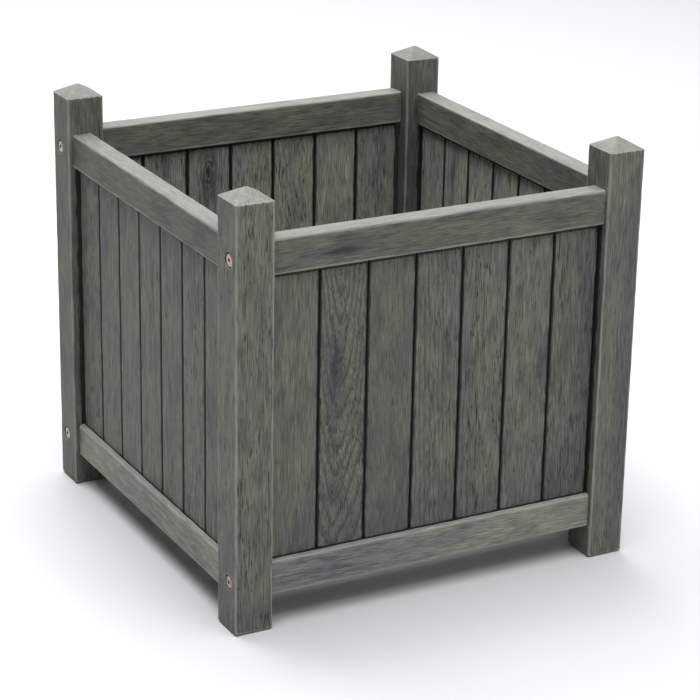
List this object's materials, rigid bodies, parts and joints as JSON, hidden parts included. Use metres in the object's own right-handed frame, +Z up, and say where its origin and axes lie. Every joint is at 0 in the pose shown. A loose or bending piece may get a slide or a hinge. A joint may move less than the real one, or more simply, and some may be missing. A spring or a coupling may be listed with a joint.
{
  "type": "planter box",
  "caption": "Free-standing square hardwood planter box with capped corner posts, framed tongue-and-groove side panels, bolted corners and a slatted draining floor.",
  "frame": {"origin": "on the ground, at the middle of the planter", "axes": "+Z up out of the open top; -Y towards the front panel, +X to the right, along the front rails"},
  "size_m": [0.5, 0.5, 0.5],
  "materials": {
    "post_wood": "grey wash over sawn hardwood, worn edges",
    "rail_wood": "grey wash over planed hardwood, worn edges",
    "board_wood": "grey wash over planed hardwood, streaked",
    "floor_wood": "bare sawn hardwood, greyed",
    "bolt_steel": "zinc plated, satin",
    "insert_steel": "zinc plated, satin",
    "screw_steel": "zinc plated, satin",
    "dowel_wood": "bare turned hardwood"
  },
  "bodies": {
    "root": {"post_back_left": "post_wood", "post_back_right": "post_wood", "post_front_left": "post_wood", "post_front_right": "post_wood", "bottom_rail_back": "rail_wood", "bottom_rail_front": "rail_wood", "bottom_rail_left": "rail_wood", "bottom_rail_right": "rail_wood", "top_rail_back": "rail_wood", "top_rail_front": "rail_wood", "top_rail_left": "rail_wood", "top_rail_right": "rail_wood", "board_back_1": "board_wood", "board_back_2": "board_wood", "board_back_3": "board_wood", "board_back_4": "board_wood", "board_back_5": "board_wood", "board_back_6": "board_wood", "board_back_7": "board_wood", "board_front_1": "board_wood", "board_front_2": "board_wood", "board_front_3": "board_wood", "board_front_4": "board_wood", "board_front_5": "board_wood", "board_front_6": "board_wood", "board_front_7": "board_wood", "board_left_1": "board_wood", "board_left_2": "board_wood", "board_left_3": "board_wood", "board_left_4": "board_wood", "board_left_5": "board_wood", "board_left_6": "board_wood", "board_left_7": "board_wood", "board_right_1": "board_wood", "board_right_2": "board_wood", "board_right_3": "board_wood", "board_right_4": "board_wood", "board_right_5": "board_wood", "board_right_6": "board_wood", "board_right_7": "board_wood", "floor_cleat_left": "floor_wood", "floor_cleat_right": "floor_wood", "floor_slat_1": "floor_wood", "floor_slat_2": "floor_wood", "floor_slat_3": "floor_wood", "floor_slat_4": "floor_wood", "floor_slat_5": "floor_wood", "floor_slat_6": "floor_wood", "floor_slat_7": "floor_wood", "floor_slat_screws": "screw_steel", "joint_bolts": "bolt_steel", "threaded_inserts": "insert_steel", "locating_dowels": "dowel_wood", "cleat_screws": "screw_steel"}
  },
  "joints": []
}
